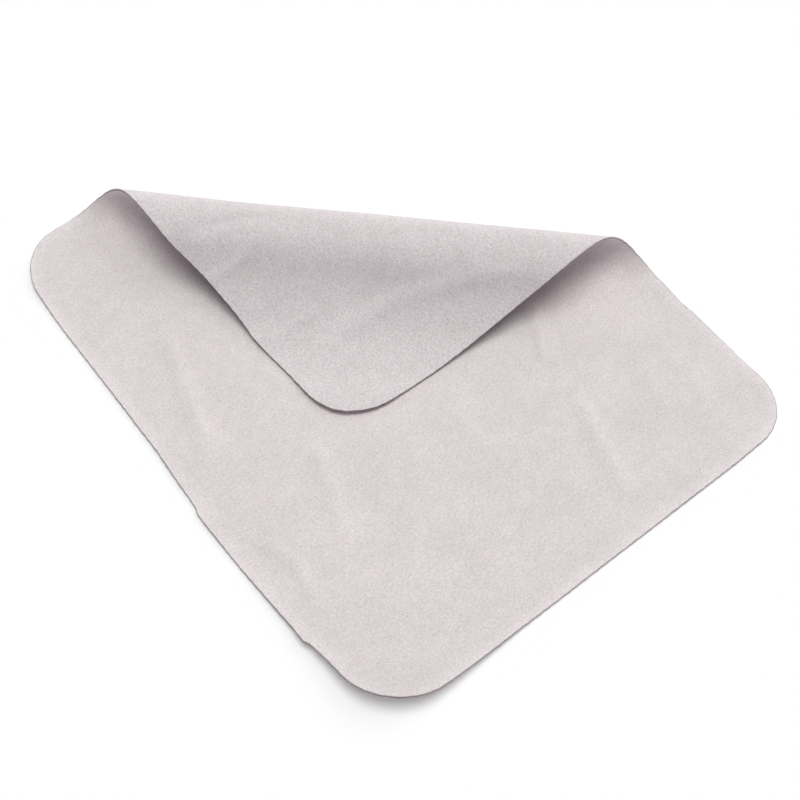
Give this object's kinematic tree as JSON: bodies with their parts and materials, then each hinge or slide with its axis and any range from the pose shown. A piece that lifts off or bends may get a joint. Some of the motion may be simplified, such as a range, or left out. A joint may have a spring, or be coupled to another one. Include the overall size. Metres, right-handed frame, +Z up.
{
  "type": "glasses cleaning cloth",
  "caption": "Soft microfibre cloth with round corners for wiping glasses, lying flat with one corner turned over in a loose roll that opens out flat.",
  "frame": {"origin": "on the table, under the middle of the cut", "axes": "+X along the short side of the cut, +Y along its long side, +Z up from the table; the near corner is at -X -Y and the turned corner belongs at +X +Y"},
  "size_m": [0.15, 0.1799, 0.02],
  "materials": {
    "cloth": "matt suede nap, pale warm grey"
  },
  "bodies": {
    "panel": {"main_panel": "cloth"},
    "rise": {"fold_rise": "cloth"},
    "roll_1": {"fold_roll_1": "cloth"},
    "roll_2": {"fold_roll_2": "cloth"},
    "roll_3": {"fold_roll_3": "cloth"},
    "roll_4": {"fold_roll_4": "cloth"},
    "roll_5": {"fold_roll_5": "cloth"},
    "shoulder_1": {"fold_shoulder_1": "cloth"},
    "shoulder_2": {"fold_shoulder_2": "cloth"},
    "base": {"flap_base": "cloth"},
    "middle": {"flap_middle": "cloth"},
    "tip": {"flap_tip": "cloth"}
  },
  "joints": [
    {"name": "corner_fold", "type": "hinge", "parent": "panel", "child": "rise", "pos_m": [0.01891, 0.00557, 0.00062], "axis": [-0.7133, 0.7009, 0], "range_deg": [0, 14.67]},
    {"name": "roll_1_bend", "type": "hinge", "parent": "rise", "child": "roll_1", "pos_m": [0.02567, 0.01245, 0.00314], "axis": [-0.7133, 0.7009, 0], "range_deg": [0, 23.13]},
    {"name": "roll_2_bend", "type": "hinge", "parent": "roll_1", "child": "roll_2", "pos_m": [0.02827, 0.01509, 0.00602], "axis": [-0.7133, 0.7009, 0], "range_deg": [0, 31.6]},
    {"name": "roll_3_bend", "type": "hinge", "parent": "roll_2", "child": "roll_3", "pos_m": [0.02942, 0.01626, 0.0104], "axis": [-0.7133, 0.7009, 0], "range_deg": [0, 31.6]},
    {"name": "roll_4_bend", "type": "hinge", "parent": "roll_3", "child": "roll_4", "pos_m": [0.0288, 0.01562, 0.015], "axis": [-0.7133, 0.7009, 0], "range_deg": [0, 31.6]},
    {"name": "roll_5_bend", "type": "hinge", "parent": "roll_4", "child": "roll_5", "pos_m": [0.02657, 0.01336, 0.01844], "axis": [-0.7133, 0.7009, 0], "range_deg": [0, 31.6]},
    {"name": "shoulder_1_bend", "type": "hinge", "parent": "roll_5", "child": "shoulder_1", "pos_m": [0.02342, 0.01015, 0.01972], "axis": [-0.7133, 0.7009, 0], "range_deg": [0, 27.8]},
    {"name": "shoulder_2_bend", "type": "hinge", "parent": "shoulder_1", "child": "shoulder_2", "pos_m": [0.01914, 0.0058, 0.01842], "axis": [-0.7133, 0.7009, 0], "range_deg": [0, 24]},
    {"name": "base_bend", "type": "hinge", "parent": "shoulder_2", "child": "base", "pos_m": [0.0156, 0.0022, 0.01476], "axis": [-0.7133, 0.7009, 0], "range_deg": [0, 2.77]},
    {"name": "middle_bend", "type": "hinge", "parent": "base", "child": "middle", "pos_m": [0.00725, -0.00631, 0.00518], "axis": [-0.7133, 0.7009, 0], "range_deg": [-24.19, 0]},
    {"name": "tip_bend", "type": "hinge", "parent": "middle", "child": "tip", "pos_m": [-0.00312, -0.01686, 0.00133], "axis": [-0.7133, 0.7009, 0], "range_deg": [-19.14, 0]}
  ],
  "couplings": [
    {"joint": "roll_1_bend", "follows": "corner_fold", "ratio": 1.5773},
    {"joint": "roll_2_bend", "follows": "corner_fold", "ratio": 2.1545},
    {"joint": "roll_3_bend", "follows": "corner_fold", "ratio": 2.1545},
    {"joint": "roll_4_bend", "follows": "corner_fold", "ratio": 2.1545},
    {"joint": "roll_5_bend", "follows": "corner_fold", "ratio": 2.1545},
    {"joint": "shoulder_1_bend", "follows": "corner_fold", "ratio": 1.8955},
    {"joint": "shoulder_2_bend", "follows": "corner_fold", "ratio": 1.6364},
    {"joint": "base_bend", "follows": "corner_fold", "ratio": 0.18876},
    {"joint": "middle_bend", "follows": "corner_fold", "ratio": -1.6491},
    {"joint": "tip_bend", "follows": "corner_fold", "ratio": -1.3051}
  ]
}
